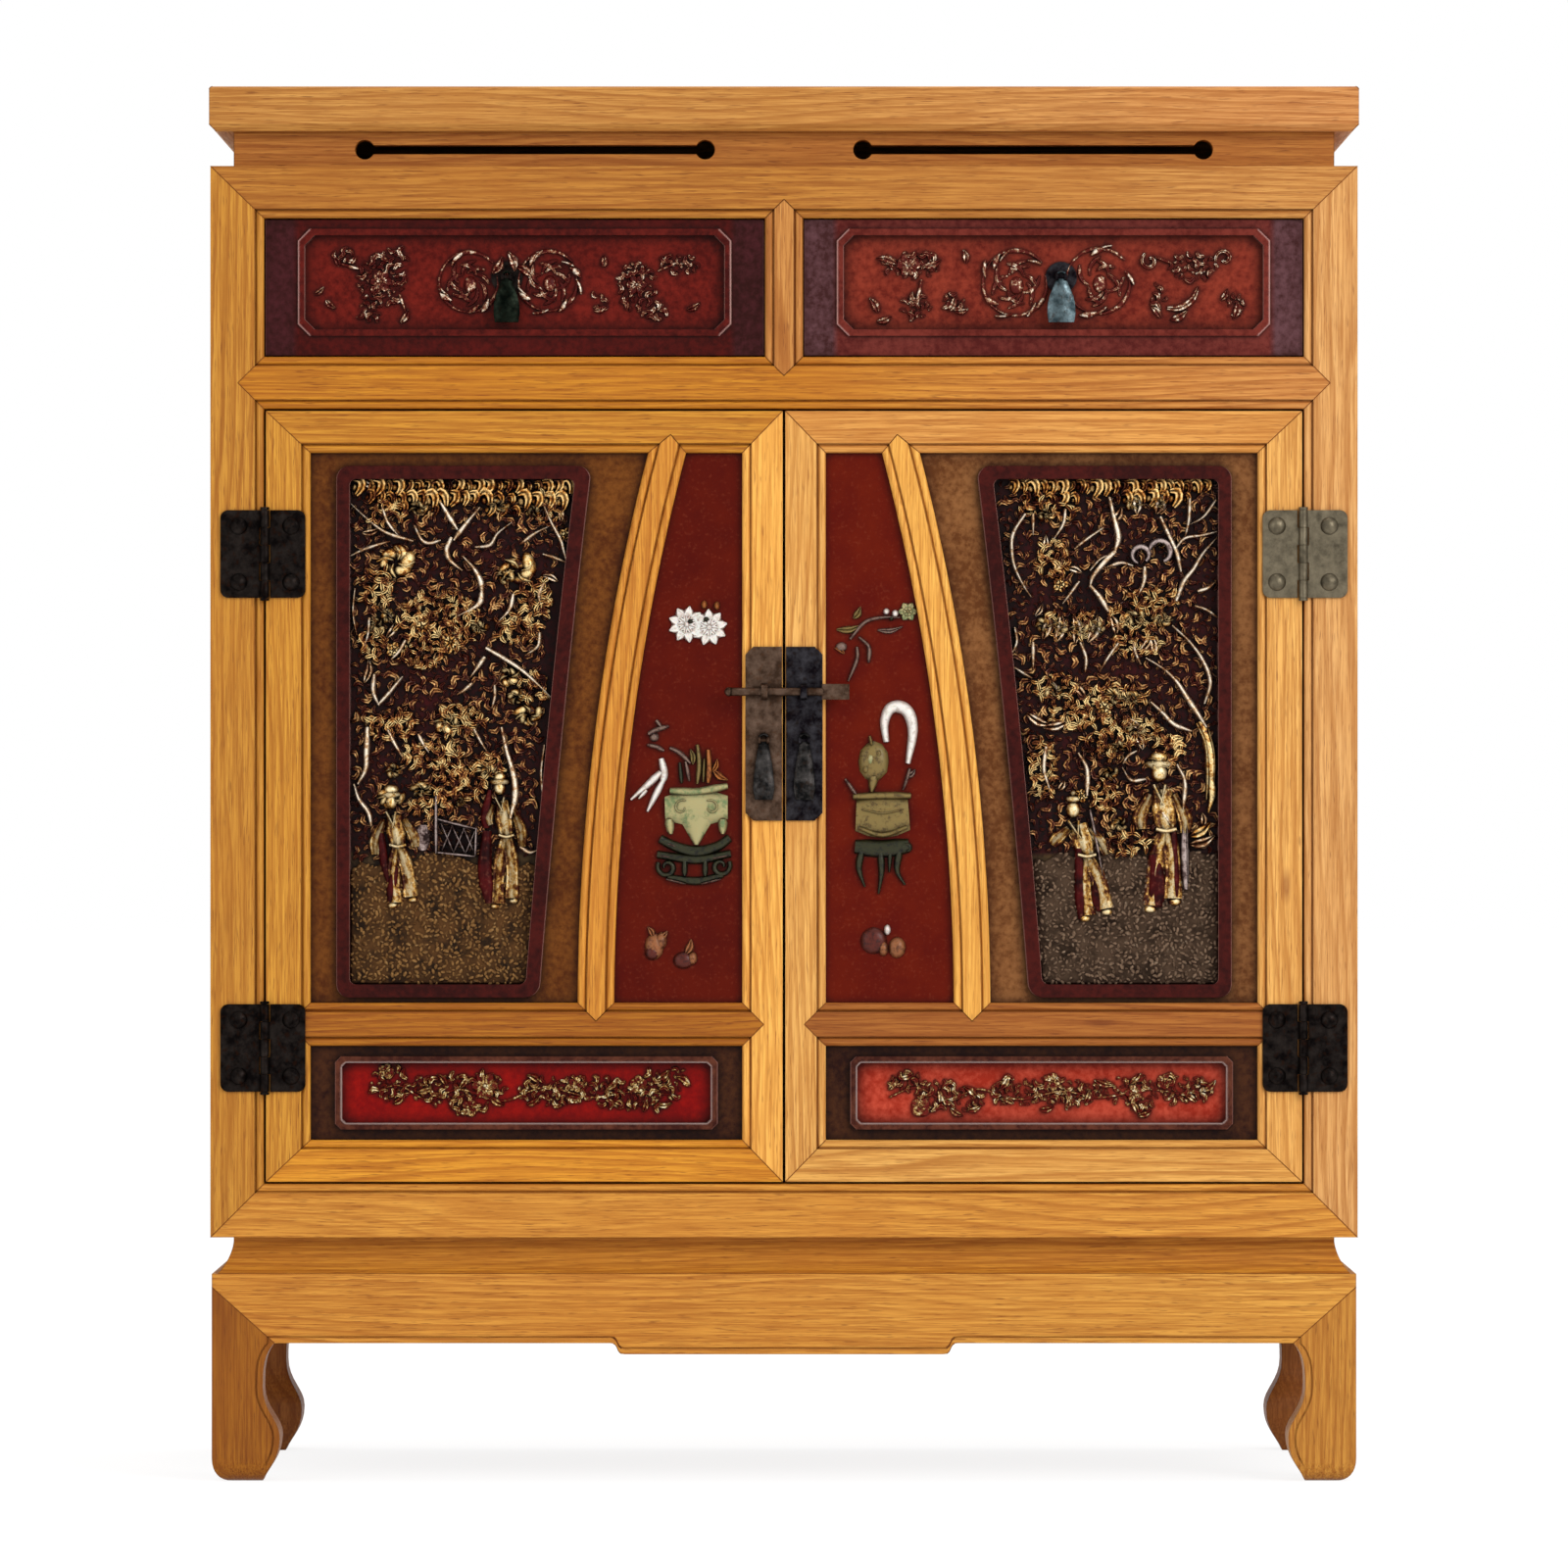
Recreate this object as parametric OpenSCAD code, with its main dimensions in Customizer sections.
// Console cabinet on hoof legs: two drawers over a pair of panelled doors.
// Millimetres, +Z up, front towards -Y, origin on the floor under the middle.

/* [Case] */
// Width of the case
case_w = 878; // [840:1:920]
// Depth of the case
case_d = 420; // [400:1:460]
// Height of the case between its two waists
case_h = 820; // [800:1:860]
// Width of a corner post
post_w = 41; // [38:1:45]
// Depth of a corner post
post_d = 45; // [40:1:50]
// Height of the top rails
top_rail_h = 40; // [36:1:44]
// Height of the rails between drawers and doors
middle_rail_h = 40; // [36:1:44]
// Height of the bottom rails
bottom_rail_h = 41; // [37:1:45]
// Depth of the front rails, back from the face
rail_d = 30; // [27:1:34]
// Thickness of the side and back rails
side_rail_t = 26; // [24:1:28]
// Width of the upright between the drawers
divider_w = 29; // [25:1:33]
// Height of the drawer openings
drawer_open_h = 106; // [98:1:114]

/* [Mouldings and joints] */
// Width of the round bead along each opening
bead_w = 6; // [5:0.5:7]
// Width of the groove beside a bead
quirk_w = 1.2; // [1:0.1:1.6]
// Thickness of a tenon
tenon_t = 9; // [7:0.5:10]
// Length of a tenon past its shoulder
tenon_l = 30; // [26:1:33]
// Hairline left between glued pieces
hairline = 0.15; // [0.1:0.05:0.3]

/* [Case panels] */
// Thickness of the side and back panels
panel_t = 9; // [7:0.5:11]
// How far the case panels lie behind the rails' faces
panel_sink = 7; // [5:0.5:8]
// How far a panel enters its groove
tongue = 7; // [6:0.5:8]
// Room left for a panel to swell in its groove
swell = 1; // [0.5:0.1:1.2]

/* [Inside] */
// Thickness of the floor board
floor_t = 18; // [14:1:22]
// Thickness of the shelf
shelf_t = 16; // [13:1:20]
// Height of the shelf above the floor board
shelf_up = 288; // [200:1:360]
// Width of the battens that carry the shelf
batten_w = 18; // [15:1:19]
// Height of the shelf battens
batten_h = 24; // [18:1:30]
// Height of a drawer runner
runner_h = 20; // [16:1:26]
// Height of the guide strips beside the drawers
guide_h = 18; // [12:1:24]
// Room round the shelf
shelf_gap = 0.5; // [0.3:0.1:1]

/* [Top] */
// Thickness of the top
top_t = 34; // [30:1:38]
// How far the top stands past the case
top_over = 1; // [0:0.5:6]
// Width of the top's frame boards
top_frame_w = 72; // [60:1:90]
// Thickness of the top's panel
top_panel_t = 18; // [14:1:22]
// Thickness of the tongue round the top's panel
top_tongue_t = 8; // [6:1:10]
// Bevel under the top's edge
top_bevel = 5; // [3:0.5:8]
// Small round on the top's upper edge
top_round = 3; // [2:0.5:5]

/* [Upper waist] */
// Height of the upper waist
waist_h = 27; // [24:1:32]
// How far both waists lie behind the case
waist_recess = 17; // [13:1:20]
// Thickness of the waist boards
waist_t = 20; // [17:1:24]
// Distance from the middle to each slot's centre
slot_x = 191; // [185:1:200]
// Length of a slot between its round ends' centres
slot_l = 261; // [220:1:280]
// Height of a slot
slot_h = 7; // [6:0.5:9]
// Diameter of a slot's round ends
slot_end_d = 15; // [12:0.5:17]

/* [Stand] */
// Height of the lower waist
lower_waist_h = 28; // [24:1:34]
// How far the stand lies behind the case
stand_recess = 1; // [0:0.5:3]
// Height of the stand
stand_h = 159; // [150:1:175]
// Height of the aprons
apron_h = 53; // [48:1:57]
// Thickness of the aprons
apron_t = 22; // [18:1:25]
// Depth of the drop in an apron's middle
drop_h = 8.5; // [6:0.5:12]
// Half length of the front drop's flat edge
drop_half = 122; // [90:1:150]
// Half length of the side drop's flat edge
side_drop_half = 60; // [40:1:70]
// Length of the curved step at a drop's end
drop_step = 11; // [8:0.5:14]
// Width of a leg at the apron
leg_w = 48; // [45:1:52]
// Width of a leg at its narrowest
leg_neck_w = 39; // [35:1:43]
// Width of a leg across its hoof
hoof_w = 52; // [49:1:56]
// Height of the hoof's widest point
hoof_z = 33; // [28:1:37]
// Height of the leg's narrowest point
neck_z = 72; // [66:1:80]
// Start of the leg's mitre below the stand's top
mitre_drop = 10; // [6:1:14]
// Width of the bead along the stand's lower and inner edges
edge_bead_w = 4; // [3:0.5:5]
// Depth of the groove beside that bead
edge_groove_d = 1; // [0.6:0.1:1.4]

/* [Drawers] */
// Gap round a drawer front
drawer_gap = 1; // [0.8:0.1:1.5]
// Thickness of a drawer front
drawer_front_t = 24; // [21:1:28]
// How far a drawer front's border lies behind the case
drawer_border_sink = 4; // [3:0.5:6]
// How far the raised frame's crown lies behind the case
crown_sink = 1.5; // [1:0.5:2.5]
// How far the carved field lies behind the case
field_sink = 9; // [7:0.5:11]
// Border at a drawer front's ends
field_end = 25; // [20:1:32]
// Border above the field
field_above = 8; // [6:1:12]
// Border below the field
field_below = 16; // [10:1:20]
// Width of a drawer's or a lower panel's raised strip
strip_w = 5; // [4:0.5:7]
// Corner cut of a drawer's raised frame
corner_cut = 9; // [6:0.5:12]
// Room between a drawer box and the back posts
box_rear_room = 11; // [8:1:30]
// Height of a drawer box
box_h = 84; // [70:1:90]
// Thickness of a drawer's sides and back
box_t = 12; // [10:0.5:14]
// Thickness of a drawer's bottom
box_bottom_t = 6; // [5:0.5:8]
// Height of the drawer's bottom above its sides' lower edge
bottom_up = 6; // [4:0.5:9]
// Gap beside a drawer box
box_side_gap = 1.5; // [1:0.1:2.5]
// Gap between a drawer box and its runners
run_gap = 0.3; // [0.2:0.1:0.5]

/* [Doors] */
// Gap round the doors
door_gap = 1.5; // [1:0.1:2.5]
// Gap between the two doors
seam = 2; // [1.6:0.1:3]
// Thickness of the doors
door_t = 24; // [22:1:27]
// Width of the stile on the hinge side
hinge_stile_w = 34; // [32:1:38]
// Width of the stile at the seam
meeting_stile_w = 31; // [30:1:35]
// Height of a door's top and bottom rails
door_rail_h = 32; // [28:1:36]
// Height of a door's middle rail
door_middle_h = 33; // [28:1:38]
// Height of a door's lower panel opening
lower_open_h = 72; // [62:1:84]
// Width of the curved upright
mullion_w = 28; // [24:1:32]
// Radius of the curved upright's middle line
mullion_r = 1700; // [1500:10:2000]
// Distance from the seam to the curve at the top rail
mullion_top_x = 89.5; // [80:0.5:100]
// Distance from the seam to the curve at the middle rail
mullion_low_x = 144; // [135:0.5:155]
// Width of the panel grooves
groove_w = 9; // [8:0.5:10]
// How far a door panel's face lies behind the door's face
door_panel_sink = 7; // [6:0.5:8]
// Border round a carved panel's raised frame
carved_border = 20; // [14:1:28]
// Border between a carved frame's foot and the curved upright
carved_inner_low = 30; // [24:1:34]
// Border between a carved frame's top and the curved upright
carved_inner_high = 40; // [32:1:46]
// How far a carved frame's slanted side bows out
carved_bow = 2; // [0:0.5:6]
// Border at the top of a carved panel
carved_top_border = 10; // [6:1:16]
// Border at the foot of a carved panel
carved_foot_border = 4; // [2:1:8]
// Width of a carved panel's raised frame
carved_strip_w = 10; // [7:0.5:12]
// Corner radius of a carved panel's raised frame
carved_corner = 10; // [6:1:14]
// How far a carved ground lies behind the door's face
carved_sink = 13; // [11:0.5:14]
// Border at the ends of a lower panel
lower_end = 19; // [12:1:24]
// Border above and below a lower panel's raised frame
lower_edge = 8; // [5:1:11]

/* [Hinges] */
// Height of the upper hinges' centres above the doors' foot
hinge_high = 480.5; // [440:0.5:520]
// Height of the lower hinges' centres above the doors' foot
hinge_low = 102.5; // [90:0.5:130]
// Width of a door's hinge leaf
leaf_w = 31; // [28:0.5:32]
// Width of a post's hinge leaf
case_leaf_w = 34; // [30:0.5:36]
// Distance of the nails from the hinge's pivot
nail_x = 20; // [17:0.5:22]
// Height of a hinge leaf
leaf_h = 67; // [60:1:74]
// Thickness of hinge leaves and lock plates
plate_t = 2; // [1.5:0.1:2.5]
// Corner radius of a hinge leaf
leaf_corner = 6; // [4:0.5:8]
// Radius of a hinge knuckle
knuckle_r = 3.5; // [3.2:0.1:4]
// Radius of a hinge pin
pin_r = 2; // [1.6:0.1:2.2]
// Running clearance round pins
running = 0.05; // [0.03:0.01:0.08]
// Gap between neighbouring knuckles
knuckle_gap = 0.3; // [0.2:0.1:0.5]
// Radius of a dome nail's head
nail_r = 6.8; // [5.5:0.1:7]
// Height of a dome nail's head
nail_h = 3.6; // [2.5:0.1:4]
// Distance between a leaf's nails
nail_pitch = 43; // [38:1:46]

/* [Lock and pulls] */
// Width of a lock plate
lock_w = 28; // [25:0.5:29]
// Height of a lock plate
lock_h = 133; // [120:1:145]
// Height of the lock plates' centre above the doors' foot
lock_up = 343; // [330:1:360]
// Cut of a lock plate's outer corners
lock_cut = 6; // [4:0.5:8]
// Height of the staples above the lock plates' centre
staple_up = 32; // [28:1:40]
// Distance of each staple from the seam
staple_x = 15; // [13:0.5:17]
// Outer radius of a staple
staple_r = 6.5; // [6:0.1:7.5]
// Width of a staple along the pin
staple_w = 5; // [4:0.5:6]
// Radius of a staple's hole
staple_hole_r = 3.9; // [3.8:0.1:4.4]
// Radius of the lock pin
lock_pin_r = 3.2; // [2.8:0.1:3.3]
// Radius of the lock pin's ball tip
ball_r = 3.6; // [3.4:0.1:3.7]
// Reach of the lock pin left of the seam
pin_left = 42; // [34:1:48]
// Reach of the lock pin's round part right of the seam
pin_right = 30; // [26:1:36]
// Length of the lock pin's flat thumb piece
thumb_l = 20; // [14:1:24]
// Height of the lock pin's flat thumb piece
thumb_h = 12; // [9:0.5:14]
// Thickness of the lock pin's flat thumb piece
thumb_t = 3; // [2.5:0.1:4]
// Height of a door pull's pivot below the lock plate's centre
pull_down = 5; // [0:1:8]
// Length of a door pull below its pivot
pull_l = 46; // [36:1:52]
// Half width of a door pull
pull_half = 8; // [6:0.5:9]
// Thickness of the pulls
pull_t = 4; // [3:0.5:4.5]
// Outer radius of a pull's eye
eye_r = 4; // [3.6:0.1:4.4]
// Radius of the pivots that carry the pulls
pivot_r = 1.5; // [1.2:0.1:1.8]
// Gap between a pull's eye and the ears beside it
ear_gap = 0.3; // [0.2:0.1:0.5]
// Thickness of the ears
ear_t = 2; // [1.5:0.1:2.5]
// Radius of a drawer pull's round plate
rosette_r = 12; // [9:0.5:15]
// Length of a drawer pull below its pivot
drop_l = 40; // [26:1:44]
// Half width of a drawer pull
drop_pull_half = 10; // [8:0.5:12]
// Height of a drawer pull's pivot above the drawer's centre
pull_up = 8; // [4:1:14]
// Distance of a drawer pull from the drawer's centre, towards the post
pull_out = 6; // [0:1:12]

/* [Inlays] */
// Thickness of the stone inlays
inlay_t = 4; // [3:0.5:5]

/* [Hidden] */
$fn = 48;

// Finishes as the eye meets them
elm = "#C98A42";
elm_dark = "#A5652F";
maroon = "#4A130E";
lacquer = "#67190A";
panel_brown = "#6B380D";
bright_red = "#810B07";
iron = "#201A17";
jade = "#9DB48A";

// Heights, from the floor up
case_z0 = stand_h + lower_waist_h;
case_z1 = case_z0 + case_h;
drawer_z1 = case_z1 - top_rail_h;
drawer_z0 = drawer_z1 - drawer_open_h;
middle_z0 = drawer_z0 - middle_rail_h;
door_open_z0 = case_z0 + bottom_rail_h;
top_z0 = case_z1 + waist_h;

// Widths, from the middle out
half_w = case_w / 2;
open_half = half_w - post_w;
inner_half = half_w - side_rail_t;
stand_half = half_w - stand_recess;

// The lock's staples stand furthest forward, and the depth is centred on the whole reach
staple_out = plate_t + staple_r;
hardware_reach = staple_out + staple_r;
front_y = (hardware_reach - case_d - top_over) / 2;
bead_steps = 8;
curve_steps = 8;
over = 1;
shy = 0.3;

// Shared helpers: a body's place, prisms along each axis, and a box between two corners
module place() {
  translate([0, front_y, 0]) children();
}
module along_x(x0, x1) {
  translate([x0, 0, 0]) rotate([90, 0, 90]) linear_extrude(x1 - x0) children();
}
module along_y(y0, y1) {
  translate([0, y1, 0]) rotate([90, 0, 0]) linear_extrude(y1 - y0) children();
}
module along_z(z0, z1) {
  translate([0, 0, z0]) linear_extrude(z1 - z0) children();
}
module block(lo, hi) {
  translate(lo) cube(hi - lo);
}
module both_sides() {
  children();
  mirror([1, 0, 0]) children();
}
function bezier(a, b, c, d, n) = [for (i = [0 : n]) let (t = i / n, s = 1 - t)
  s * s * s * a + 3 * s * s * t * b + 3 * s * t * t * c + t * t * t * d];
function arc(x, y, r, a0, a1, n) = [for (i = [0 : n]) let (a = a0 + (a1 - a0) * i / n)
  [x + r * cos(a), y + r * sin(a)]];
function flip(points) = [for (i = [len(points) - 1 : -1 : 0]) [-points[i].x, points[i].y]];
function swap(points) = [for (p = points) [p.y, p.x]];
function moved(points, by) = [for (p = points) p + by];

// Section of a frame member: across, then back from the face, with a bead on each edge asked for
bead_r = bead_w / 2;
function bead_arc(u) = arc(u + bead_r, bead_r, bead_r, 180, 360, bead_steps);
function section(w, d, low, high) = concat([[0, d]],
  low ? concat(bead_arc(0), [[bead_w + quirk_w, bead_r], [bead_w + quirk_w, 0]]) : [[0, 0]],
  high ? concat([[w - bead_w - quirk_w, 0], [w - bead_w - quirk_w, bead_r]], bead_arc(w - bead_w))
    : [[w, 0]],
  [[w, d]]);

// Front frame: each rail's outline on the front, with mitred corners and pointed ends
// The mitres run on past the case's corners, so that nothing is left of a post beyond them
module rail_blank(open_z, edge_z, h) {
  run_on = 1 + over / h;
  x = open_half + post_w * run_on;
  z = open_z + (edge_z - open_z) * run_on;
  along_y(0, rail_d) polygon([[-x, z], [x, z], [open_half, open_z], [-open_half, open_z]]);
}
module top_rail_blank() {
  rail_blank(drawer_z1, case_z1, top_rail_h);
}
module bottom_rail_blank() {
  rail_blank(door_open_z0, case_z0, bottom_rail_h);
}
module pointed_bar(x0, x1, z0, z1) {
  tip = (z1 - z0) / 2;
  polygon([[x0, z0], [x1, z0], [x1 + tip, z0 + tip], [x1, z1], [x0, z1], [x0 - tip, z0 + tip]]);
}
module middle_rail_blank() {
  along_y(0, rail_d) pointed_bar(-open_half, open_half, middle_z0, drawer_z0);
  tenon_z = (middle_z0 + drawer_z0) / 2;
  block([-open_half - tenon_l, rail_d - 2 * tenon_t, tenon_z - middle_rail_h / 4],
    [open_half + tenon_l, rail_d - tenon_t, tenon_z + middle_rail_h / 4]);
}
module divider_blank() {
  tip = divider_w / 2;
  along_y(0, rail_d) polygon([[-tip, drawer_z0], [0, drawer_z0 - tip], [tip, drawer_z0],
    [tip, drawer_z1], [0, drawer_z1 + tip], [-tip, drawer_z1]]);
}
module rail_bar(z0, h, low, high) {
  along_x(-half_w - tenon_l, half_w + tenon_l) polygon(moved(swap(section(h, rail_d, low, high)), [0, z0]));
}

module front_top_rail() color(elm) place() difference() {
  intersection() {
    rail_bar(drawer_z1, top_rail_h, true, false);
    top_rail_blank();
  }
  divider_blank();
}
module front_bottom_rail() color(elm) place() intersection() {
  rail_bar(case_z0, bottom_rail_h, false, true);
  bottom_rail_blank();
}
module front_middle_rail() color(elm) place() difference() {
  intersection() {
    rail_bar(middle_z0, middle_rail_h, true, true);
    middle_rail_blank();
  }
  divider_blank();
}
module drawer_divider() color(elm) place() intersection() {
  along_z(middle_z0, case_z1) polygon(moved(section(divider_w, rail_d, true, true), [-divider_w / 2, 0]));
  divider_blank();
}

// Side and back rails, each with a tenon into the posts at both ends
side_rail_z = [[case_z0, door_open_z0], [middle_z0, drawer_z0], [drawer_z1, case_z1]];
back_y = case_d;
module end_tenons(from, to, mid, z, is_side) {
  h = (z[1] - z[0]) / 4;
  zc = (z[0] + z[1]) / 2;
  if (is_side)
    block([mid - tenon_t / 2, from, zc - h], [mid + tenon_t / 2, to, zc + h]);
  else
    block([from, mid - tenon_t / 2, zc - h], [to, mid + tenon_t / 2, zc + h]);
}
side_tenon_l = tenon_l / 2;
module side_tenons() {
  for (z = side_rail_z)
    end_tenons(post_d - side_tenon_l, back_y - post_d + side_tenon_l, -half_w + side_rail_t / 2, z, true);
}
module back_tenons() {
  for (z = side_rail_z)
    end_tenons(-open_half - side_tenon_l, open_half + side_tenon_l, back_y - side_rail_t / 2, z, false);
}
module side_batten() {
  shelf_z = door_open_z0 + shelf_up;
  block([-half_w + panel_sink + panel_t + 1, post_d, shelf_z - batten_h],
    [-half_w + panel_sink + panel_t + 1 + batten_w, back_y - post_d, shelf_z]);
}
module left_side_rails() {
  beads = [[false, true], [true, true], [true, false]];
  for (i = [0 : 2]) let (z = side_rail_z[i])
    along_y(post_d, back_y - post_d)
      polygon([for (p = section(z[1] - z[0], side_rail_t, beads[i][0], beads[i][1]))
        [p.y - half_w, p.x + z[0]]]);
  side_tenons();
  side_batten();
}
module side_rails() color(elm) place() difference() {
  both_sides() left_side_rails();
  both_sides() side_panel_slots();
}
module back_rails() color(elm_dark) place() difference() {
  union() {
    for (z = side_rail_z)
      block([-open_half, back_y - side_rail_t, z[0]], [open_half, back_y, z[1]]);
    back_tenons();
  }
  back_panel_slots();
}

// Floating panels: the same outline makes the panel and, grown, its groove
panel_z = [[door_open_z0, middle_z0], [drawer_z0, drawer_z1]];
module side_panel_boards(grow) {
  for (z = panel_z)
    block([-half_w + panel_sink, post_d - tongue - grow, z[0] - tongue - grow],
      [-half_w + panel_sink + panel_t, back_y - post_d + tongue + grow, z[1] + tongue + grow]);
}
module back_panel_boards(grow) {
  for (z = panel_z)
    block([-open_half - tongue - grow, back_y - panel_sink - panel_t, z[0] - tongue - grow],
      [open_half + tongue + grow, back_y - panel_sink, z[1] + tongue + grow]);
}
module side_panel_slots() {
  side_panel_boards(swell);
}
module back_panel_slots() {
  back_panel_boards(swell);
}
module side_panels() color(elm) place() both_sides() side_panel_boards(0);
module back_panels() color(elm_dark) place() back_panel_boards(0);

// Corner posts: a full column less everything that is let into it
module front_post() {
  difference() {
    along_z(case_z0, case_z1) polygon(moved(section(post_w, post_d, false, true), [-half_w, 0]));
    top_rail_blank();
    middle_rail_blank();
    bottom_rail_blank();
    side_tenons();
    side_panel_slots();
  }
}
module back_post() {
  difference() {
    block([-half_w, back_y - post_d, case_z0], [-open_half, back_y, case_z1]);
    side_tenons();
    back_tenons();
    side_panel_slots();
    back_panel_slots();
  }
}
module post_front_left() color(elm) place() front_post();
module post_front_right() color(elm) place() mirror([1, 0, 0]) front_post();
module post_back_left() color(elm) place() back_post();
module post_back_right() color(elm) place() mirror([1, 0, 0]) back_post();

// Inside: boards notched round the posts, and the runners and guides under the drawers
module inner_board(y0, z0, t, gap) {
  reach = (gap > 0) ? half_w - panel_sink - panel_t - gap : inner_half;
  difference() {
    block([-reach, y0, z0], [reach, back_y - side_rail_t - gap, z0 + t]);
    both_sides() {
      block([-half_w, -over, z0 - over], [-open_half + gap, post_d + gap, z0 + t + over]);
      block([-half_w, back_y - post_d - gap, z0 - over], [-open_half + gap, back_y + over, z0 + t + over]);
    }
  }
}
module floor_board() color(elm_dark) place() inner_board(rail_d, door_open_z0 - floor_t, floor_t, 0);
module shelf() color(elm_dark) place() inner_board(door_t + 1, door_open_z0 + shelf_up, shelf_t, shelf_gap);

guide_half = divider_w / 2 - 2 * box_side_gap;
module drawer_runners() color(elm_dark) place() {
  both_sides() {
    block([-inner_half, post_d, drawer_z0 - runner_h],
      [-open_half + 2 * box_t, back_y - post_d, drawer_z0]);
    block([-inner_half, post_d, drawer_z0],
      [-open_half - box_side_gap, back_y - post_d, drawer_z0 + guide_h]);
  }
  block([-divider_w, rail_d, drawer_z0 - runner_h], [divider_w, back_y - side_rail_t, drawer_z0]);
  block([-guide_half, rail_d, drawer_z0], [guide_half, back_y - side_rail_t, drawer_z0 + guide_h]);
}

// Four boards round a rectangle, mitred in plan; the child is a board's section as [y, z]
module mitred_board(length, half, b) {
  cut = hairline / 2;
  translate([0, -half, 0]) intersection() {
    along_x(-length / 2, length / 2) children();
    along_z(0, top_z0 + top_t + over)
      polygon([[-length / 2 + cut, 0], [length / 2 - cut, 0], [length / 2 - b - cut, b],
        [-length / 2 + b + cut, b]]);
  }
}
module on_plan() {
  translate([0, case_d / 2, 0]) children();
}

// Top: a mitred frame with a bevelled underside, round a flush panel on a tongue
top_w = case_w + 2 * top_over;
top_d = case_d + 2 * top_over;
module top_section() {
  difference() {
    polygon(concat([[top_bevel, top_z0], [0, top_z0 + top_bevel]],
      arc(top_round, top_z0 + top_t - top_round, top_round, 180, 90, curve_steps),
      [[top_frame_w, top_z0 + top_t], [top_frame_w, top_z0]]));
    polygon([[top_frame_w - tongue - swell, tongue_z0], [top_frame_w + over, tongue_z0],
      [top_frame_w + over, tongue_z0 + top_tongue_t],
      [top_frame_w - tongue - swell, tongue_z0 + top_tongue_t]]);
  }
}
tongue_z0 = top_z0 + top_t - top_panel_t;
module top_frame() color(elm) place() on_plan() {
  for (side = [0, 1]) mirror([0, side, 0]) mitred_board(top_w, top_d / 2, top_frame_w) top_section();
  for (side = [0, 1]) mirror([side, 0, 0]) rotate([0, 0, -90])
    mitred_board(top_d, top_w / 2, top_frame_w) top_section();
}
module top_panel() color(elm) place() on_plan() {
  x = top_w / 2 - top_frame_w;
  y = top_d / 2 - top_frame_w;
  block([-x, -y, tongue_z0], [x, y, top_z0 + top_t]);
  block([-x - tongue, -y - tongue, tongue_z0], [x + tongue, y + tongue, tongue_z0 + top_tongue_t]);
}

// Upper waist: plain boards, with two long slots through the front one
waist_w = case_w - 2 * waist_recess;
waist_d = case_d - 2 * waist_recess;
module waist_section() {
  polygon([[0, case_z1], [waist_t, case_z1], [waist_t, top_z0], [0, top_z0]]);
}
module slot(x) {
  z = case_z1 + waist_h / 2;
  block([x - slot_l / 2, waist_recess - over, z - slot_h / 2],
    [x + slot_l / 2, waist_recess + waist_t + over, z + slot_h / 2]);
  for (end = [-1, 1])
    translate([x + end * slot_l / 2, waist_recess - over, z]) rotate([-90, 0, 0])
      cylinder(h = waist_t + 2 * over, d = slot_end_d);
}
module upper_waist_front() color(elm_dark) place() difference() {
  on_plan() mitred_board(waist_w, waist_d / 2, waist_t) waist_section();
  slot(-slot_x);
  slot(slot_x);
}
module upper_waist_sides_back() color(elm_dark) place() on_plan() {
  mirror([0, 1, 0]) mitred_board(waist_w, waist_d / 2, waist_t) waist_section();
  for (side = [0, 1]) mirror([side, 0, 0]) rotate([0, 0, -90])
    mitred_board(waist_d, waist_w / 2, waist_t) waist_section();
}

// Lower waist: a cove that spreads from the case's recess down to the stand's edge
cove_foot = waist_recess / 3;
module cove_section() {
  polygon(concat([[waist_recess + apron_t, case_z0], [waist_recess + apron_t, stand_h], [cove_foot, stand_h]],
    bezier([cove_foot, stand_h + 1], [waist_recess / 2, stand_h + 2],
      [waist_recess - 1, stand_h + lower_waist_h / 2], [waist_recess, case_z0 - 4], curve_steps),
    [[waist_recess, case_z0]]));
}
module lower_waist() color(elm_dark) place() on_plan() {
  b = waist_recess + apron_t;
  for (side = [0, 1]) mirror([0, side, 0]) mitred_board(case_w, case_d / 2, b) cove_section();
  for (side = [0, 1]) mirror([side, 0, 0]) rotate([0, 0, -90])
    mitred_board(case_d, case_w / 2, b) cove_section();
}

// Stand: aprons that wrap the legs' heads, mitred to them on the front, with a drop in the middle
stand_w = case_w - 2 * stand_recess;
stand_d = case_d - 2 * stand_recess;
apron_z = stand_h - apron_h;
mitre_z = stand_h - mitre_drop;
function apron_low_edge(flat) = concat(
  [[0, apron_z - drop_h]],
  bezier([flat, apron_z - drop_h], [flat + drop_step * 0.7, apron_z - drop_h],
    [flat + drop_step * 0.3, apron_z], [flat + drop_step, apron_z], curve_steps));
function apron_half(w, flat) = concat(
  apron_low_edge(flat),
  [[w / 2 - leg_w, apron_z], [w / 2, mitre_z], [w / 2, stand_h], [0, stand_h]]);
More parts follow.
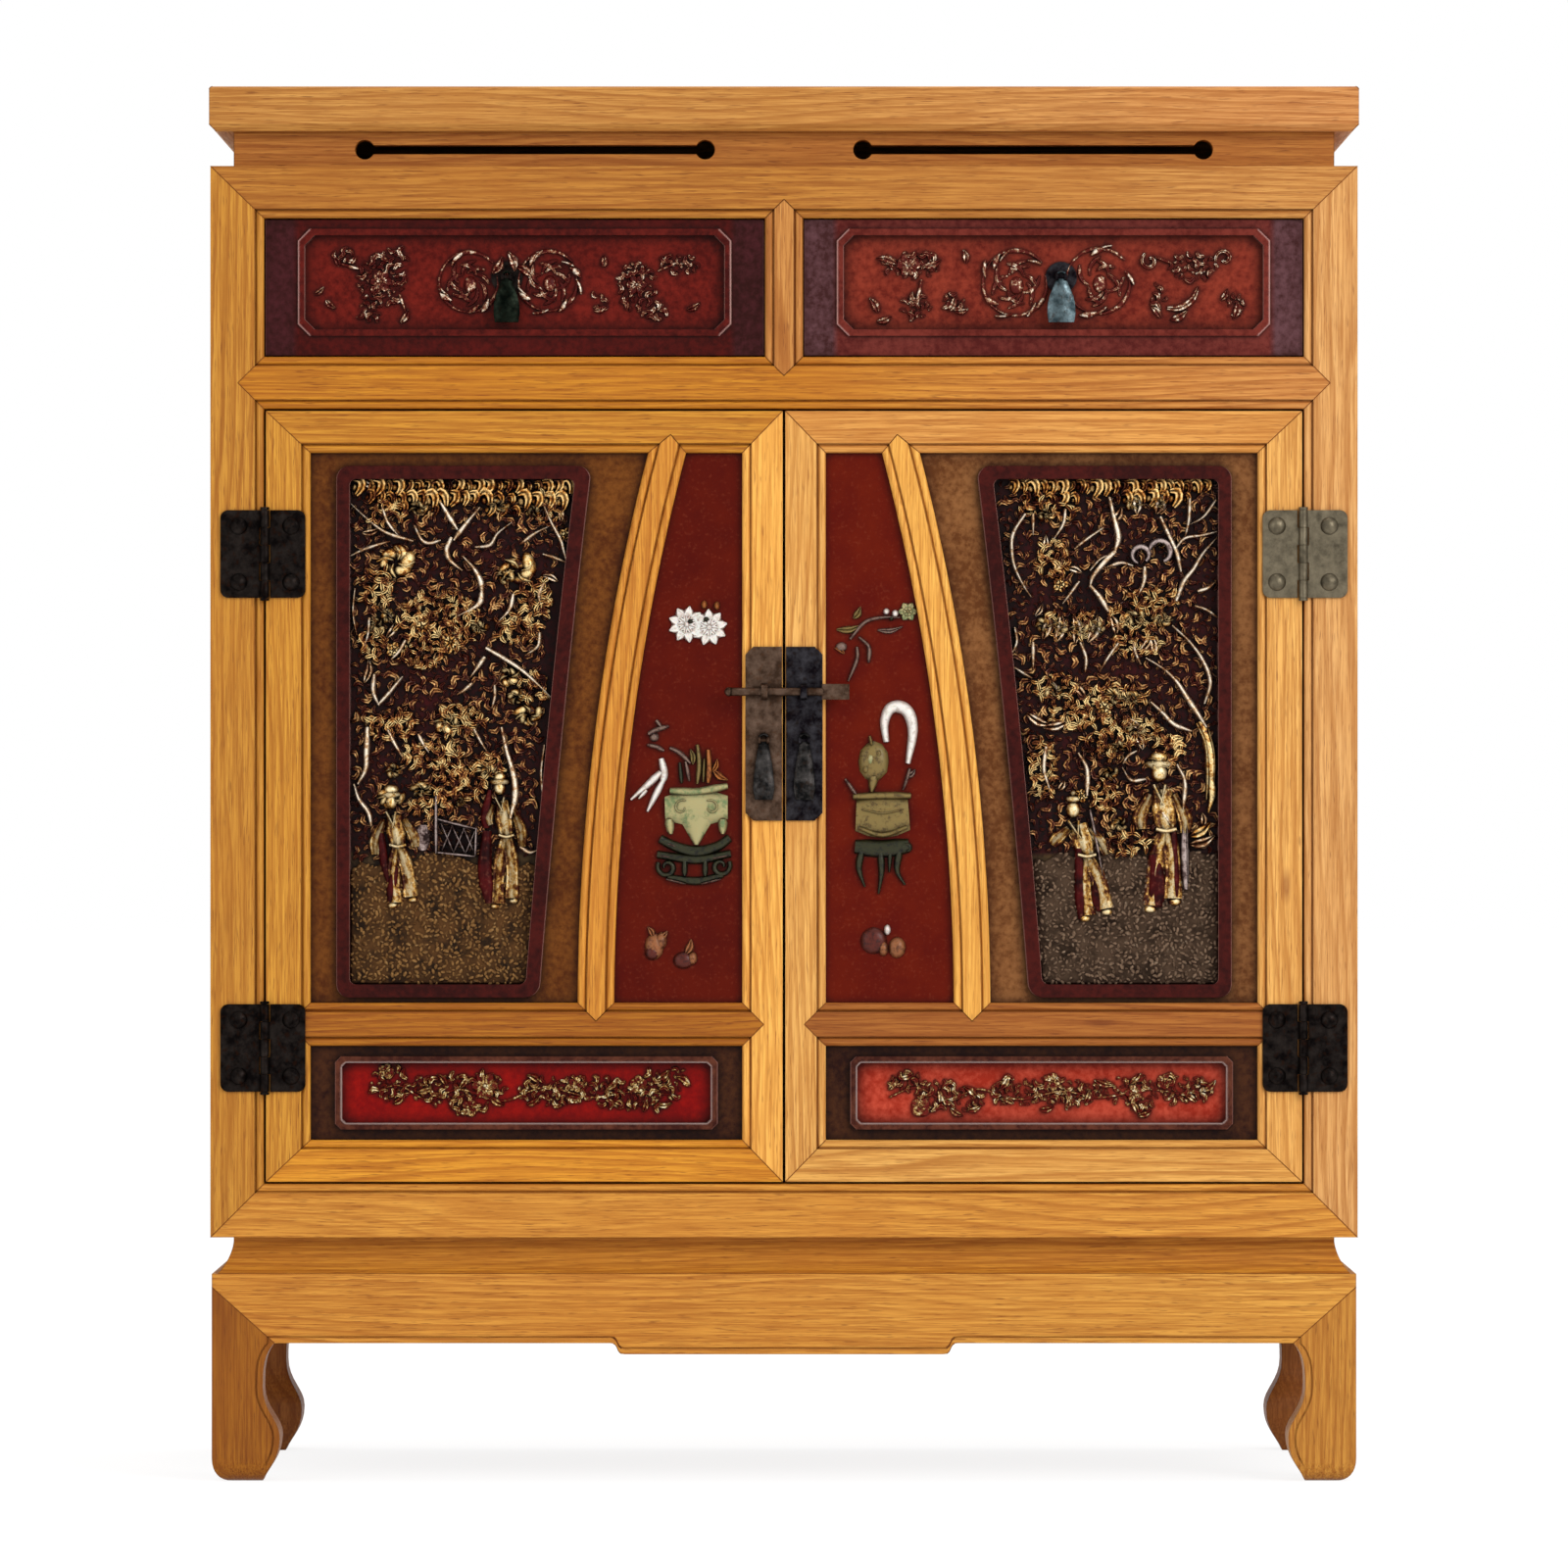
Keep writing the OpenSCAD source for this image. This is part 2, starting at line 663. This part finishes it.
// The groove beside an edge's bead lies between the edge moved inwards twice
function groove_band(edge, a, b) = concat(moved(edge, a), backwards(moved(edge, b)));
groove_from = edge_bead_w;
groove_to = edge_bead_w + quirk_w;
mitre_slope = leg_w / (apron_h - mitre_drop);
module beaded_apron(w, half, flat) {
  edge = concat(apron_low_edge(flat), [[w / 2, apron_z]]);
  band = groove_band(edge, [0, groove_from], [0, groove_to]);
  difference() {
    apron(w, half, flat);
    translate([0, -half, 0]) along_y(-over, edge_groove_d) {
      polygon(band);
      polygon(flip(band));
    }
  }
}
module apron(w, half, flat) {
  points = apron_half(w, flat);
  translate([0, -half, 0]) intersection() {
    along_y(0, apron_t) union() {
      polygon(points);
      polygon(flip(points));
    }
    along_z(0, stand_h + over)
      polygon([[-w / 2, 0], [w / 2, 0], [w / 2 - apron_t, apron_t], [-w / 2 + apron_t, apron_t]]);
  }
}
module front_apron() {
  on_plan() apron(stand_w, stand_d / 2, drop_half);
}
module side_apron() {
  on_plan() rotate([0, 0, -90]) apron(stand_d, stand_w / 2, side_drop_half);
}
module apron_front() color(elm) place() on_plan() beaded_apron(stand_w, stand_d / 2, drop_half);
module apron_back() color(elm) place() on_plan() mirror([0, 1, 0])
  beaded_apron(stand_w, stand_d / 2, drop_half);
module aprons_side() color(elm) place() both_sides() on_plan() rotate([0, 0, -90])
  beaded_apron(stand_d, stand_w / 2, side_drop_half);

// Hoof leg: one outline seen from the front and the same one from the side
toe = hoof_w * 0.29;
heel = hoof_w * 0.74;
leg_inner_edge = concat(
  bezier([heel, 0], [heel + 3, hoof_z * 0.25], [hoof_w, hoof_z * 0.5], [hoof_w, hoof_z], curve_steps),
  bezier([hoof_w, hoof_z + 1], [hoof_w, hoof_z + 14], [leg_neck_w, neck_z - 18], [leg_neck_w, neck_z],
    curve_steps),
  bezier([leg_neck_w, neck_z + 1], [leg_neck_w, neck_z + 16], [leg_w - 8, apron_z - 8], [leg_w, apron_z],
    curve_steps));
leg_points = concat(
  [[0, stand_h]],
  bezier([0, hoof_z * 0.55], [0, hoof_z * 0.2], [toe * 0.4, 0], [toe, 0], curve_steps),
  leg_inner_edge,
  [[leg_w, stand_h]]);
module leg() {
  place_x = -stand_half;
  edge = concat([[heel, -over]], leg_inner_edge, [[leg_w, stand_h]]);
  band = groove_band(edge, [-groove_from * mitre_slope, 0], [-groove_to * mitre_slope, 0]);
  difference() {
    intersection() {
      along_y(stand_recess, stand_recess + hoof_w + over) polygon(moved(leg_points, [place_x, 0]));
      along_x(place_x, place_x + hoof_w + over) polygon(moved(leg_points, [stand_recess, 0]));
    }
    front_apron();
    side_apron();
    along_y(0, stand_recess + edge_groove_d) polygon(moved(band, [place_x, 0]));
    along_x(-half_w, place_x + edge_groove_d) polygon(moved(band, [stand_recess, 0]));
  }
}
module leg_at(side, end) {
  on_plan() mirror([side, 0, 0]) mirror([0, end, 0]) translate([0, -case_d / 2, 0]) leg();
}
module leg_front_left() color(elm) place() leg_at(0, 0);
module leg_front_right() color(elm) place() leg_at(1, 0);
module leg_back_left() color(elm) place() leg_at(0, 1);
module leg_back_right() color(elm) place() leg_at(1, 1);

// Drawers: made for the left opening and mirrored for the right one
drawer_x0 = -open_half + drawer_gap;
drawer_x1 = -divider_w / 2 - drawer_gap;
drawer_mid_x = (drawer_x0 + drawer_x1) / 2;
drawer_mid_z = (drawer_z0 + drawer_z1) / 2;
box_y0 = drawer_front_t;
box_l = case_d - post_d - box_rear_room - box_y0;
function cut_corners(x0, x1, z0, z1, c) = [[x0 + c, z0], [x1 - c, z0], [x1, z0 + c], [x1, z1 - c],
  [x1 - c, z1], [x0 + c, z1], [x0, z1 - c], [x0, z0 + c]];
module drawer_front() {
  x0 = drawer_x0 + field_end;
  x1 = drawer_x1 - field_end;
  z0 = drawer_z0 + field_below;
  z1 = drawer_z1 - field_above;
  difference() {
    union() {
      block([drawer_x0, drawer_border_sink, drawer_z0 + drawer_gap],
        [drawer_x1, drawer_front_t, drawer_z1 - drawer_gap]);
      along_y(crown_sink, drawer_front_t) polygon(cut_corners(x0, x1, z0, z1, corner_cut));
    }
    along_y(0, field_sink)
      polygon(cut_corners(x0 + strip_w, x1 - strip_w, z0 + strip_w, z1 - strip_w, corner_cut - strip_w / 4));
  }
}
module drawer_box() {
  x0 = -open_half + box_side_gap;
  x1 = -divider_w / 2 - box_side_gap;
  z0 = drawer_z0 + run_gap;
  z1 = z0 + box_h;
  y1 = box_y0 + box_l;
  groove = box_t / 2;
  difference() {
    union() {
      block([x0, box_y0, z0], [x0 + box_t, y1, z1]);
      block([x1 - box_t, box_y0, z0], [x1, y1, z1]);
    }
    drawer_bottom(x0 + groove - hairline, x1 - groove + hairline, y1 + over, z0, hairline);
  }
  block([x0 + box_t + hairline, y1 - box_t, z0 + bottom_up + box_bottom_t + hairline],
    [x1 - box_t - hairline, y1, z1]);
  drawer_bottom(x0 + groove, x1 - groove, y1, z0, 0);
}
module drawer_bottom(x0, x1, y1, z0, grow) {
  block([x0, box_y0, z0 + bottom_up - grow], [x1, y1, z0 + bottom_up + box_bottom_t + grow]);
}

// A pull hangs in two ears on a plate: the pivot lies across, at a named distance before the face
pivot_y = -(crown_sink + pull_t / 2);
module ears(x, y_back, y, z) {
  for (side = [-1, 1]) {
    inner = pull_t / 2 + ear_gap;
    x0 = (side < 0) ? x - inner - ear_t : x + inner;
    block([x0, y, z - eye_r * 0.7], [x0 + ear_t, y_back, z + eye_r * 0.7]);
    along_x(x0, x0 + ear_t) translate([y, z]) circle(r = eye_r * 0.7);
  }
  along_x(x - pull_t / 2 - ear_gap - ear_t / 2, x + pull_t / 2 + ear_gap + ear_t / 2)
    translate([y, z]) circle(r = pivot_r);
}
module eye(x, y, z) {
  difference() {
    along_x(x - pull_t / 2, x + pull_t / 2) translate([y, z]) circle(r = eye_r);
    along_x(x - pull_t, x + pull_t) translate([y, z]) circle(r = pivot_r + running);
  }
}
pull_x = drawer_mid_x - pull_out;
pull_z = drawer_mid_z + pull_up;
module drawer_pull_plate() {
  along_y(field_sink - plate_t, field_sink) translate([pull_x, pull_z]) circle(r = rosette_r);
  ears(pull_x, field_sink - plate_t + 0.5, pivot_y, pull_z);
}
function bell(half, l) = concat(
  [[-half, -l]],
  bezier([-half, -l + 3], [-half + 1, -l * 0.6], [-pull_t / 2, -l * 0.45], [-pull_t / 2, -eye_r * 0.8],
    curve_steps),
  bezier([pull_t / 2, -eye_r * 0.8], [pull_t / 2, -l * 0.45], [half - 1, -l * 0.6], [half, -l + 3],
    curve_steps),
  [[half, -l]]);
module drawer_pull() {
  eye(pull_x, pivot_y, pull_z);
  along_y(pivot_y - pull_t / 2, pivot_y + pull_t / 2)
    polygon(moved(bell(drop_pull_half, drop_l), [pull_x, pull_z]));
}
module right() {
  mirror([1, 0, 0]) children();
}
module drawer_left_front() color(maroon) place() drawer_front();
module drawer_left_box() color(elm_dark) place() drawer_box();
module drawer_left_pull_plate() color(iron) place() drawer_pull_plate();
module drawer_left_pull() color(iron) place() drawer_pull();
module drawer_right_front() color(maroon) place() right() drawer_front();
module drawer_right_box() color(elm_dark) place() right() drawer_box();
module drawer_right_pull_plate() color(iron) place() right() drawer_pull_plate();
module drawer_right_pull() color(iron) place() right() drawer_pull();

// Doors: made for the left opening and mirrored for the right one
door_x0 = -open_half + door_gap;
door_x1 = -seam / 2;
door_z0 = door_open_z0 + door_gap;
door_z1 = middle_z0 - door_gap;
in_x0 = door_x0 + hinge_stile_w;
in_x1 = door_x1 - meeting_stile_w;
low_z0 = door_z0 + door_rail_h;
low_z1 = low_z0 + lower_open_h;
in_z0 = low_z1 + door_middle_h;
in_z1 = door_z1 - door_rail_h;

// The curved upright's middle line is an arc through one point on each rail
curve_a = [-mullion_low_x, in_z0];
curve_b = [-mullion_top_x, in_z1];
chord = norm(curve_b - curve_a);
across = [curve_b.y - curve_a.y, curve_a.x - curve_b.x] / chord;
curve_centre = (curve_a + curve_b) / 2 + across * sqrt(mullion_r * mullion_r - chord * chord / 4);
curve_fine = 24;
function curve_x(r, z) = curve_centre.x - sqrt(r * r - (z - curve_centre.y) * (z - curve_centre.y));
function curve_line(r, z0, z1) = [for (i = [0 : curve_fine]) let (z = z0 + (z1 - z0) * i / curve_fine)
  [curve_x(r, z), z]];
function backwards(points) = [for (i = [len(points) - 1 : -1 : 0]) points[i]];

module top_blank_2d() {
  polygon([[door_x0, door_z1], [door_x1, door_z1], [in_x1, in_z1], [in_x0, in_z1]]);
}
module bottom_blank_2d() {
  polygon([[door_x0, door_z0], [door_x1, door_z0], [in_x1, low_z0], [in_x0, low_z0]]);
}
module middle_blank_2d() {
  pointed_bar(in_x0, in_x1, low_z1, in_z0);
}
module mullion_blank_2d() {
  tip = mullion_w / 2;
  polygon(concat(curve_line(mullion_r + tip, in_z0, in_z1), [[curve_b.x + tip * 0.2, in_z1 + tip]],
    backwards(curve_line(mullion_r - tip, in_z0, in_z1)), [[curve_a.x, in_z0 - tip]]));
}
module middle_tenon() {
  zc = (low_z1 + in_z0) / 2;
  l = meeting_stile_w - 6;
  block([in_x0 - l, door_t - 2 * groove_w + 2, zc - 8], [in_x1 + l, door_t - groove_w, zc + 8]);
}
module door_member(z0, z1, h, low, high) {
  along_x(door_x0, door_x1) polygon(moved(swap(section(h, door_t, low, high)), [0, z0]));
}

// Panel outlines grow by one value, so each groove follows its own panel
function carved_outline(grow) = concat([[in_x0 - grow, in_z0 - grow]], [[in_x0 - grow, in_z1 + grow]],
  backwards(curve_line(mullion_r + mullion_w / 2 - grow, in_z0 - grow, in_z1 + grow)));
function lacquer_outline(grow) = concat(
  curve_line(mullion_r - mullion_w / 2 + grow, in_z0 - grow, in_z1 + grow),
  [[in_x1 + grow, in_z1 + grow], [in_x1 + grow, in_z0 - grow]]);
function lower_outline(grow) = [[in_x0 - grow, low_z0 - grow], [in_x1 + grow, low_z0 - grow],
  [in_x1 + grow, low_z1 + grow], [in_x0 - grow, low_z1 + grow]];
panel_y0 = door_panel_sink;
panel_y1 = door_panel_sink + groove_w;
module door_panel_slots() {
  along_y(panel_y0, panel_y1) {
    polygon(carved_outline(tongue + swell));
    polygon(lacquer_outline(tongue + swell));
    polygon(lower_outline(tongue + swell));
  }
}
module door_stiles() difference() {
  union() {
    intersection() {
      along_z(door_z0, door_z1) polygon(moved(section(hinge_stile_w, door_t, false, true), [door_x0, 0]));
      along_y(0, door_t) difference() {
        polygon([[door_x0, door_z0], [in_x0, door_z0], [in_x0, door_z1], [door_x0, door_z1]]);
        top_blank_2d();
        bottom_blank_2d();
      }
    }
    intersection() {
      along_z(door_z0, door_z1) polygon(moved(section(meeting_stile_w, door_t, true, false), [in_x1, 0]));
      along_y(0, door_t) difference() {
        polygon([[in_x1, door_z0], [door_x1, door_z0], [door_x1, door_z1], [in_x1, door_z1]]);
        top_blank_2d();
        bottom_blank_2d();
      }
    }
  }
  along_y(0, door_t) middle_blank_2d();
  middle_tenon();
  door_panel_slots();
}
module door_rails() difference() {
  union() {
    intersection() {
      door_member(in_z1, door_z1, door_rail_h, true, false);
      along_y(0, door_t) top_blank_2d();
    }
    intersection() {
      door_member(door_z0, low_z0, door_rail_h, false, true);
      along_y(0, door_t) bottom_blank_2d();
    }
    intersection() {
      door_member(low_z1, in_z0, door_middle_h, true, true);
      along_y(0, door_t) middle_blank_2d();
    }
    middle_tenon();
  }
  along_y(0, door_t) mullion_blank_2d();
  door_panel_slots();
}
module door_mullion() difference() {
  intersection() {
    translate([curve_centre.x, 0, curve_centre.y]) mirror([1, 0, 0]) rotate([90, 0, 0]) rotate([0, 0, -20])
      rotate_extrude(angle = 40, $fn = 720)
        polygon([for (p = section(mullion_w, door_t, true, true)) [mullion_r - mullion_w / 2 + p.x, -p.y]]);
    along_y(0, door_t) mullion_blank_2d();
  }
  door_panel_slots();
}

// Carved panel: a raised frame round a sunk ground, following the curved upright
function carved_field(e) =
  let (x0 = in_x0 + carved_border + e, z0 = in_z0 + carved_foot_border + e,
    z1 = in_z1 - carved_top_border - e, r = carved_corner - e / 2, edge_r = mullion_r + mullion_w / 2,
    high = [curve_x(edge_r + carved_inner_high, z1) - e, z1],
    low = [curve_x(edge_r + carved_inner_low, z0) - e, z0],
    bow = (high + low) / 2 - [carved_bow * 4 / 3, 0],
    slope = (low - high) / norm(low - high))
  concat(arc(x0 + r, z0 + r, r, 270, 180, curve_steps), arc(x0 + r, z1 - r, r, 180, 90, curve_steps),
    bezier(high - [r, 0], high - [r / 2, 0], high + slope * r / 2, high + slope * r, curve_steps),
    bezier(high + slope * (r + 1), bow + (high - low) / 6, bow - (high - low) / 6, low - slope * (r + 1),
      curve_fine),
    bezier(low - slope * r, low - slope * r / 2, low - [r / 2, 0], low - [r, 0], curve_steps));
module carved_panel() {
  difference() {
    union() {
      along_y(panel_y0, panel_y1) polygon(carved_outline(tongue));
      along_y(crown_sink, panel_y0 + over) polygon(carved_field(0));
    }
    along_y(0, carved_sink) polygon(carved_field(carved_strip_w));
  }
}
module lacquer_panel() along_y(panel_y0, panel_y1) polygon(lacquer_outline(tongue));
module lower_panel() {
  x0 = in_x0 + lower_end;
  x1 = in_x1 - lower_end;
  difference() {
    union() {
      along_y(panel_y0, panel_y1) polygon(lower_outline(tongue));
      along_y(crown_sink, panel_y0 + over)
        polygon(cut_corners(x0, x1, low_z0 + lower_edge, low_z1 - lower_edge, corner_cut / 2));
    }
    along_y(0, panel_y0 + 2) polygon(cut_corners(x0 + strip_w, x1 - strip_w,
      low_z0 + lower_edge + strip_w, low_z1 - lower_edge - strip_w, corner_cut / 3));
  }
}
module door_left_stiles() color(elm) place() door_stiles();
module door_left_rails() color(elm) place() door_rails();
module door_left_mullion() color(elm) place() door_mullion();
module door_left_carved_panel() color(panel_brown) place() carved_panel();
module door_left_lacquer_panel() color(lacquer) place() lacquer_panel();
module door_left_lower_panel() color(bright_red) place() lower_panel();
module door_right_stiles() color(elm) place() right() door_stiles();
module door_right_rails() color(elm) place() right() door_rails();
module door_right_mullion() color(elm) place() right() door_mullion();
module door_right_carved_panel() color(panel_brown) place() right() carved_panel();
module door_right_lacquer_panel() color(lacquer) place() right() lacquer_panel();
module door_right_lower_panel() color(bright_red) place() right() lower_panel();

// Stone inlays: low cut shapes glued on the lacquer, measured from the panel's foot at the stile in
// 421sts of the panel's height
inlay_x = in_x1;
inlay_z = in_z0;
inlay_unit = (in_z1 - in_z0) / 421;
module inlay(x, z) {
  translate([inlay_x + x * inlay_unit, panel_y0, inlay_z + z * inlay_unit]) rotate([90, 0, 0])
    linear_extrude(inlay_t) scale(inlay_unit) children();
}
module flower(a, b) {
  polygon([for (i = [0 : 47]) let (t = i * 7.5, r = 0.86 + 0.14 * cos(9 * t))
    [a * r * cos(t), b * r * sin(t)]]);
}
module pot(half, h, lip) {
  polygon(concat([[-half * 0.72, h], [-half * 0.8, h - lip]],
    bezier([-half * 0.7, h - lip], [-half * 1.25, h * 0.55], [-half * 0.8, 0], [-half * 0.4, 0], curve_steps),
    bezier([half * 0.4, 0], [half * 0.8, 0], [half * 1.25, h * 0.55], [half * 0.7, h - lip], curve_steps),
    [[half * 0.8, h - lip], [half * 0.72, h]]));
}
module stand_shape(half, h) {
  polygon([[-half, h], [half, h], [half * 0.9, h * 0.6], [half * 0.62, h * 0.5],
    [half * 0.8, 0], [half * 0.5, 0],
    [half * 0.25, h * 0.45], [half * 0.12, 0], [-half * 0.12, 0], [-half * 0.25, h * 0.45], [-half * 0.5, 0],
    [-half * 0.8, 0], [-half * 0.62, h * 0.5], [-half * 0.9, h * 0.6]]);
}
module bent_twig(points, half) {
  n = len(points);
  polygon(concat([for (i = [0 : n - 1]) points[i] + half * (1 - 0.6 * i / n)],
    [for (i = [n - 1 : -1 : 0]) points[i] - half * (1 - 0.6 * i / n)]));
}
module door_left_inlays() color(jade) place() {
  inlay(-34, 287) flower(22, 17);
  inlay(-36, 126) pot(25, 40, 5);
  inlay(-36, 89) stand_shape(31, 32);
  inlay(-73, 152) bent_twig([[0, -22], [1, -8], [5, 6], [10, 18]], [5, 0]);
  inlay(-64, 36) circle(r = 9);
  inlay(-43, 30) circle(r = 8);
}
module door_right_inlays() color(jade) place() {
  x = -inlay_x;
  z = inlay_z;
  translate([2 * x, 0, 0]) {
    inlay(38, 132) pot(22, 34, 4);
    inlay(38, 98) stand_shape(20, 32);
    inlay(33, 184) circle(r = 13);
    inlay(57, 202) bent_twig([[-8, 8], [0, 14], [7, 14], [15, 6]], [0, 4]);
    inlay(42, 40) flower(14, 12);
    inlay(5, 240) bent_twig([[0, 0], [14, 22], [26, 44], [38, 50], [56, 55]], [0, 5]);
  }
}

// Lock: a plate on each meeting stile, each with a staple for the pin and ears for a pull
lock_z = door_z0 + lock_up;
staple_z = lock_z + staple_up;
module lock_plate() {
  x1 = -seam / 2 - 0.5;
  x0 = x1 - lock_w;
  difference() {
    union() {
      along_y(-plate_t, 0) polygon([[x1, lock_z - lock_h / 2], [x1, lock_z + lock_h / 2],
        [x0 + lock_cut, lock_z + lock_h / 2], [x0, lock_z + lock_h / 2 - lock_cut],
        [x0, lock_z - lock_h / 2 + lock_cut], [x0 + lock_cut, lock_z - lock_h / 2]]);
      along_x(-staple_x - staple_w / 2, -staple_x + staple_w / 2) translate([-staple_out, staple_z])
        circle(r = staple_r);
      block([-staple_x - staple_w / 2, -staple_out, staple_z - staple_r * 0.75],
        [-staple_x + staple_w / 2, -plate_t / 2, staple_z + staple_r * 0.75]);
    }
    along_x(-staple_x - staple_w, -staple_x + staple_w) translate([-staple_out, staple_z])
      circle(r = staple_hole_r);
  }
  ears(-door_pull_x, -plate_t / 2, door_pivot_y, door_pull_z);
}
door_pull_x = 1.5 + lock_w / 2;
door_pivot_y = -(plate_t + eye_r + 0.5);
door_pull_z = lock_z - pull_down;
function drop_outline(half, l) = concat(
  bezier([-pull_t / 2, -eye_r * 0.8], [-pull_t / 2, -eye_r * 1.6], [-half, -l * 0.45], [-half, -l * 0.7],
    curve_steps),
  bezier([-half, -l * 0.71], [-half, -l * 0.9], [-half * 0.4, -l], [0, -l], curve_steps),
  bezier([half * 0.05, -l], [half * 0.4, -l], [half, -l * 0.9], [half, -l * 0.71], curve_steps),
  bezier([half, -l * 0.7], [half, -l * 0.45], [pull_t / 2, -eye_r * 1.6], [pull_t / 2, -eye_r * 0.8],
    curve_steps));
module door_pull() {
  eye(-door_pull_x, door_pivot_y, door_pull_z);
  along_y(door_pivot_y - pull_t / 2, door_pivot_y + pull_t / 2)
    polygon(moved(drop_outline(pull_half, pull_l), [-door_pull_x, door_pull_z]));
}
module door_left_lock_plate() color(iron) place() lock_plate();
module door_left_pull() color(iron) place() door_pull();
module door_right_lock_plate() color(iron) place() right() lock_plate();
module door_right_pull() color(iron) place() right() door_pull();
module lock_pin() color(iron) place() {
  along_x(-pin_left, pin_right) translate([-staple_out, staple_z]) circle(r = lock_pin_r);
  translate([-pin_left, -staple_out, staple_z]) sphere(r = ball_r);
  block([pin_right - over, -staple_out - thumb_t / 2, staple_z - thumb_h / 2],
    [pin_right + thumb_l, -staple_out + thumb_t / 2, staple_z + thumb_h / 2]);
}

// Hinges: knuckles turn on a pin just before the face, over the gap between post and door
pivot_x = -open_half + door_gap / 2;
knuckle_y = -(knuckle_r + shy);
knuckle_count = 5;
knuckle_h = (leaf_h - (knuckle_count - 1) * knuckle_gap) / knuckle_count;
knuckle_step = knuckle_h + knuckle_gap;
hinge_z = [door_z0 + hinge_high, door_z0 + hinge_low];
// One leaf towards +X from its pivot at zero, with every second knuckle from the first one named
module leaf(w, first) {
  clear = knuckle_r + 0.8;
  low = -leaf_h / 2;
  difference() {
    union() {
      along_y(-plate_t, 0) polygon(concat([[clear, low]],
        arc(w - leaf_corner, low + leaf_corner, leaf_corner, 270, 360, curve_steps),
        arc(w - leaf_corner, -low - leaf_corner, leaf_corner, 0, 90, curve_steps), [[clear, -low]]));
      for (i = [first : 2 : knuckle_count - 1]) {
        z = low + i * knuckle_step;
        block([pin_r * 1.1, -plate_t, z], [clear + over, 0, z + knuckle_h]);
        translate([0, knuckle_y, z]) cylinder(h = knuckle_h, r = knuckle_r);
      }
    }
    translate([0, knuckle_y, low - over]) cylinder(h = leaf_h + 2 * over, r = pin_r + running);
  }
}
// A pin with a low head at each end
module hinge_pin() {
  translate([0, knuckle_y, -leaf_h / 2 - shy]) cylinder(h = leaf_h + 2 * shy, r = pin_r);
  for (end = [-1, 1])
    translate([0, knuckle_y, end * (leaf_h / 2 + shy + pin_r / 2) - pin_r / 2])
      cylinder(h = pin_r, r = knuckle_r);
}
module leaf_nails() {
  ball = (nail_r * nail_r + nail_h * nail_h) / (2 * nail_h);
  for (end = [-1, 1])
    intersection() {
      translate([nail_x, ball - nail_h - plate_t, end * nail_pitch / 2]) sphere(r = ball, $fn = 64);
      block([nail_x - ball, -plate_t - ball, end * nail_pitch / 2 - ball],
        [nail_x + ball, -plate_t, end * nail_pitch / 2 + ball]);
    }
}
module at_hinges() {
  for (z = hinge_z)
    translate([pivot_x, 0, z]) children();
}
module hinge_case_leaves() color(iron) place() both_sides() at_hinges() {
  mirror([1, 0, 0]) leaf(case_leaf_w, 0);
  hinge_pin();
}
module hinge_case_nails() color(iron) place() both_sides() at_hinges() mirror([1, 0, 0]) leaf_nails();
module hinge_door_leaves_left() color(iron) place() at_hinges() leaf(leaf_w, 1);
module hinge_door_leaves_right() color(iron) place() right() at_hinges() leaf(leaf_w, 1);
module hinge_door_nails_left() color(iron) place() at_hinges() leaf_nails();
module hinge_door_nails_right() color(iron) place() right() at_hinges() leaf_nails();

top_frame();
top_panel();
upper_waist_front();
upper_waist_sides_back();
post_front_left();
post_front_right();
post_back_left();
post_back_right();
front_top_rail();
front_middle_rail();
front_bottom_rail();
drawer_divider();
side_rails();
side_panels();
back_rails();
back_panels();
floor_board();
shelf();
drawer_runners();
lower_waist();
leg_front_left();
leg_front_right();
leg_back_left();
leg_back_right();
apron_front();
apron_back();
aprons_side();
drawer_left_front();
drawer_left_box();
drawer_left_pull_plate();
drawer_left_pull();
drawer_right_front();
drawer_right_box();
drawer_right_pull_plate();
drawer_right_pull();
door_left_stiles();
door_left_rails();
door_left_mullion();
door_left_carved_panel();
door_left_lacquer_panel();
door_left_lower_panel();
door_left_inlays();
door_left_lock_plate();
door_left_pull();
door_right_stiles();
door_right_rails();
door_right_mullion();
door_right_carved_panel();
door_right_lacquer_panel();
door_right_lower_panel();
door_right_inlays();
door_right_lock_plate();
door_right_pull();
hinge_case_leaves();
hinge_case_nails();
hinge_door_leaves_left();
hinge_door_leaves_right();
hinge_door_nails_left();
hinge_door_nails_right();
lock_pin();
